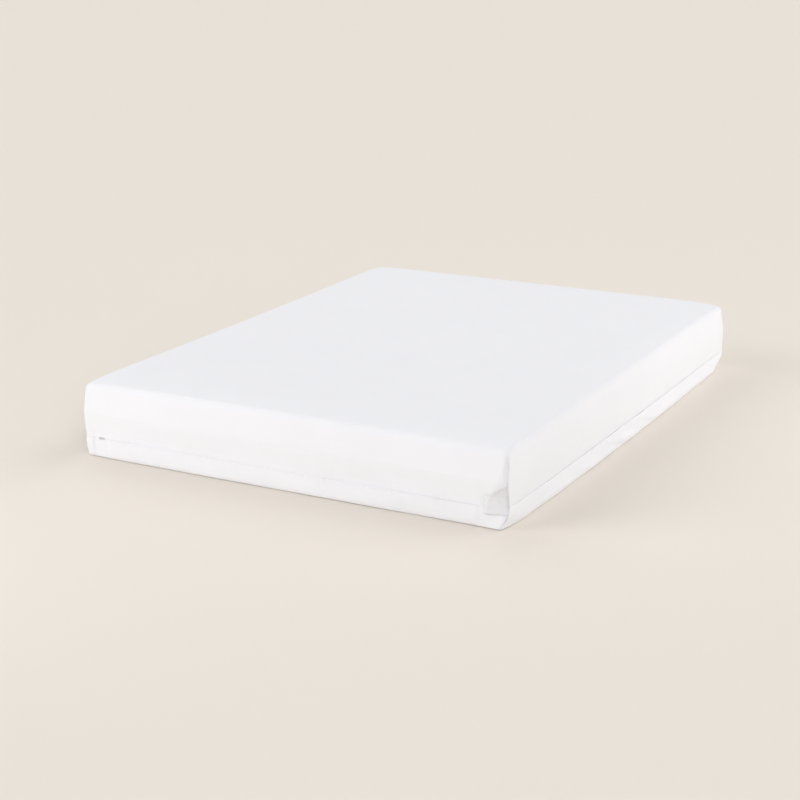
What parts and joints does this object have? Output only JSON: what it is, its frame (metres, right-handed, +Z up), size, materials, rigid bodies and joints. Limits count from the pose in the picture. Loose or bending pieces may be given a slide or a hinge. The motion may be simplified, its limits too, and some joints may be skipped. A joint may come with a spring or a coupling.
{
  "type": "memory foam mattress",
  "caption": "Rectangular foam mattress: a memory foam layer on a support block, in a plain white knitted cover with a zip round every side and a tab over the zip's end.",
  "frame": {"origin": "middle of the underside, on the floor", "axes": "+X across the width, towards the right-hand side seen from the foot end; +Y along the length, from the foot end to the head end; +Z up"},
  "size_m": [1.5004, 2.0039, 0.25],
  "materials": {
    "cover_knit": "fine white knit with a soft sheen",
    "base_cloth": "matt white cloth",
    "sewing_thread": "twisted polyester thread",
    "zip_tape": "woven polyester tape",
    "zip_coil": "white nylon",
    "slider_enamel": "white enamel on zinc",
    "memory_foam": "fine-celled viscoelastic foam",
    "support_foam": "open-celled polyurethane foam",
    "label_tape": "plain satin tape"
  },
  "bodies": {
    "cover_base": {"base_panel": "base_cloth", "lower_border": "cover_knit", "lower_corner_seam_foot_left": "sewing_thread", "lower_corner_seam_foot_right": "sewing_thread", "lower_corner_seam_head_right": "sewing_thread", "lower_corner_seam_head_left": "sewing_thread", "base_seam": "sewing_thread", "lower_zip_stitching": "sewing_thread", "lower_zip_tape": "zip_tape", "lower_zip_coil": "zip_coil", "zip_end_stop": "zip_coil", "zip_start_box": "zip_coil", "zip_end_tab": "cover_knit", "zip_end_tab_stitching": "sewing_thread", "care_label": "label_tape"},
    "foam_core": {"support_foam_block": "support_foam", "memory_foam_layer": "memory_foam"},
    "top_cover": {"top_cover_sheet": "cover_knit", "upper_corner_seam_foot_left": "sewing_thread", "upper_corner_seam_foot_right": "sewing_thread", "upper_corner_seam_head_right": "sewing_thread", "upper_corner_seam_head_left": "sewing_thread", "upper_zip_stitching": "sewing_thread", "upper_zip_tape": "zip_tape", "upper_zip_coil": "zip_coil", "zip_start_pin": "zip_coil"},
    "slider": {"zip_slider": "slider_enamel"},
    "pull": {"zip_pull": "slider_enamel"}
  },
  "joints": [
    {"name": "foam_core_lift", "type": "slide", "parent": "cover_base", "child": "foam_core", "axis": [0, 0, 1], "range_m": [0, 0.3]},
    {"name": "top_cover_lift", "type": "slide", "parent": "cover_base", "child": "top_cover", "axis": [0, 0, 1], "range_m": [0, 0.6]},
    {"name": "slider_travel", "type": "slide", "parent": "cover_base", "child": "slider", "axis": [-1, 0, 0], "range_m": [0, 1.38]},
    {"name": "pull_swing", "type": "hinge", "parent": "slider", "child": "pull", "pos_m": [0.696, -1, 0.065], "axis": [0, -1, 0], "range_deg": [-85, 85]}
  ],
  "couplings": [
    {"joint": "top_cover_lift", "follows": "foam_core_lift", "ratio": 2}
  ]
}
